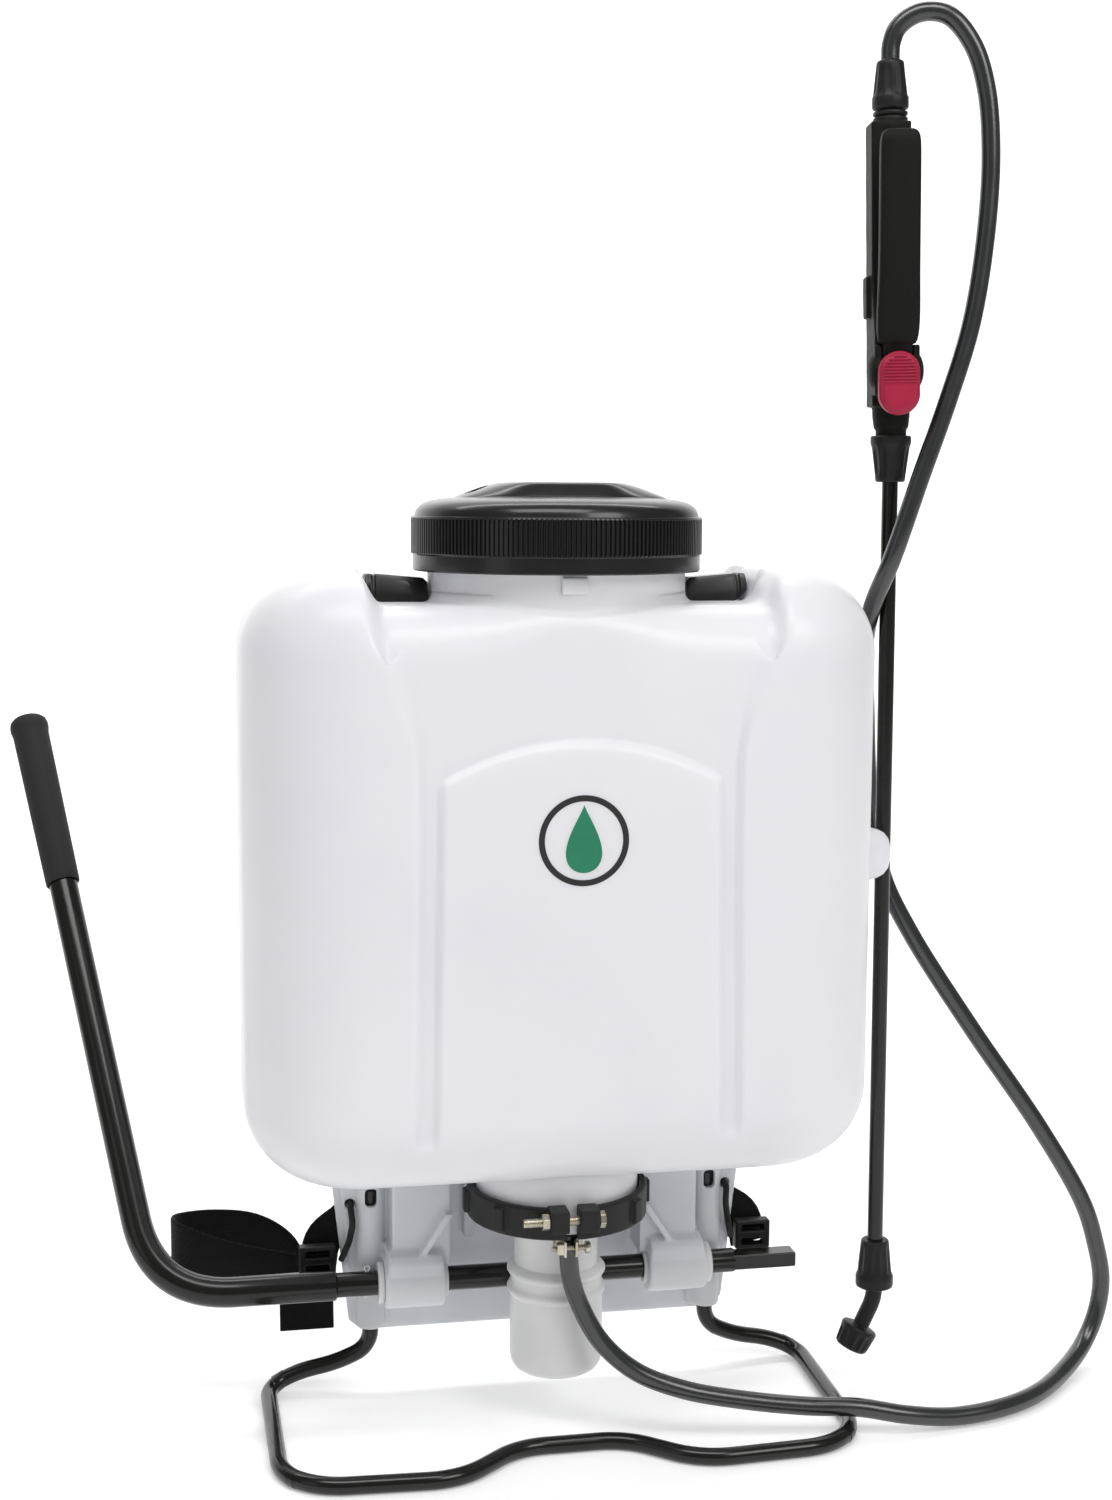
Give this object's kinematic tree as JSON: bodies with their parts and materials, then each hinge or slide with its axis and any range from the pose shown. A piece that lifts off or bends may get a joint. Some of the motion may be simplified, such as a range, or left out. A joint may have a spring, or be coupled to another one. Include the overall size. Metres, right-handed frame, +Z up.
{
  "type": "backpack sprayer",
  "caption": "Lever-operated backpack sprayer: moulded tank with screw cap, piston pump, tube stand, side lever, hose, trigger handle, wand and nozzle.",
  "frame": {"origin": "on the floor, under the middle of the object without its hose", "axes": "+Z up, +X towards the wand side, +Y towards the wearer, so the tank's panelled front faces -Y"},
  "size_m": [0.6549, 0.3286, 0.7919],
  "materials": {
    "tank_plastic": "translucent milky white HDPE, satin",
    "base_plastic": "translucent bluish-white PP, satin",
    "clear_plastic": "natural PP, slightly see-through",
    "cap_plastic": "black, glossy dome and satin ribs",
    "black_plastic": "moulded black, satin",
    "black_paint": "gloss black powder coat",
    "grip_plastic": "matte dark grey sleeve",
    "hose_plastic": "satin black reinforced hose",
    "red_plastic": "crimson, satin",
    "seal_rubber": "black nitrile",
    "webbing": "black woven nylon webbing",
    "pad_fabric": "black quilted pad fabric",
    "zinc": "yellowish zinc plate",
    "steel": "bright steel"
  },
  "bodies": {
    "sprayer": {"tank": "tank_plastic", "base_plate": "base_plastic", "pump_housing": "base_plastic", "shaft_bush_left": "base_plastic", "shaft_bush_right": "base_plastic", "strainer_basket": "clear_plastic", "pressure_chamber": "clear_plastic", "pump_clamp_ring": "black_plastic", "hose_barb": "black_plastic", "nozzle_nut": "black_plastic", "nozzle_elbow": "black_plastic", "wand_nut": "black_plastic", "hose_nut": "black_plastic", "handle_body": "black_plastic", "strap_anchor_left": "black_plastic", "strap_anchor_right": "black_plastic", "strap_buckle_left": "black_plastic", "strap_buckle_right": "black_plastic", "strap_hook_left": "black_plastic", "strap_hook_right": "black_plastic", "stand_frame": "black_paint", "wand_tube": "black_paint", "hose": "hose_plastic", "pump_seal_ring": "seal_rubber", "outlet_valve": "seal_rubber", "shoulder_strap_left": "webbing", "shoulder_strap_right": "webbing", "lower_strap_left": "webbing", "lower_strap_right": "webbing", "strap_loop_left": "webbing", "strap_tail_left": "webbing", "shoulder_pad_left": "pad_fabric", "shoulder_pad_right": "pad_fabric", "clamp_bolt": "zinc", "clamp_nut": "zinc", "hose_clamp_band": "zinc", "hose_clamp_screw": "zinc", "base_screw_left": "zinc", "base_screw_right": "zinc", "trigger_pin": "steel", "trigger_spring": "steel"},
    "pump_lever": {"pump_shaft": "black_paint", "crank_arm": "steel", "crank_pin": "steel", "lever_tube": "black_paint", "lever_grip": "grip_plastic", "cotter_pin": "steel"},
    "piston": {"piston_rod": "steel", "piston_head": "base_plastic", "piston_cup_seal": "seal_rubber"},
    "cap_lift": {"cap_gasket": "seal_rubber"},
    "cap": {"tank_cap": "cap_plastic", "cap_vent_valve": "seal_rubber"},
    "trigger": {"trigger": "grip_plastic"},
    "valve_pin": {"valve_pin": "steel"},
    "trigger_lock": {"trigger_lock": "red_plastic"},
    "nozzle_cap": {"nozzle_cap": "black_plastic"}
  },
  "joints": [
    {"name": "pump_lever_swing", "type": "hinge", "parent": "sprayer", "child": "pump_lever", "pos_m": [0.05177, -0.04645, 0.071], "axis": [1, 0, 0], "range_deg": [-50, 0]},
    {"name": "piston_stroke", "type": "slide", "parent": "sprayer", "child": "piston", "axis": [0, 0, 1], "range_m": [0, 0.03]},
    {"name": "cap_turn", "type": "hinge", "parent": "cap_lift", "child": "cap", "pos_m": [0.05177, -0.06935, 0.5], "axis": [0, 0, 1], "range_deg": [0, 450]},
    {"name": "cap_rise", "type": "slide", "parent": "sprayer", "child": "cap_lift", "axis": [0, 0, 1], "range_m": [0, 0.0102]},
    {"name": "trigger_squeeze", "type": "hinge", "parent": "sprayer", "child": "trigger", "pos_m": [0.24002, -0.08414, 0.59192], "axis": [0.9859, -0.165, 0.0275], "range_deg": [-5, 0], "stiffness_Nm_per_rad": 1.5},
    {"name": "valve_pin_travel", "type": "slide", "parent": "sprayer", "child": "valve_pin", "axis": [0.165, 0.9863, 0.0046], "range_m": [0, 0.0027]},
    {"name": "trigger_lock_slide", "type": "slide", "parent": "sprayer", "child": "trigger_lock", "axis": [-0.0279, 0, 0.9996], "range_m": [-0.004, 0]},
    {"name": "nozzle_cap_turn", "type": "hinge", "parent": "sprayer", "child": "nozzle_cap", "pos_m": [0.23797, -0.06935, 0.03415], "axis": [0.4307, 0, 0.9025], "range_deg": [0, 270]}
  ],
  "couplings": [
    {"joint": "piston_stroke", "follows": "pump_lever_swing", "m_per_rad": -0.0339},
    {"joint": "cap_rise", "follows": "cap_turn", "m_per_rad": 0.00127},
    {"joint": "valve_pin_travel", "follows": "trigger_squeeze", "m_per_rad": -0.03}
  ]
}
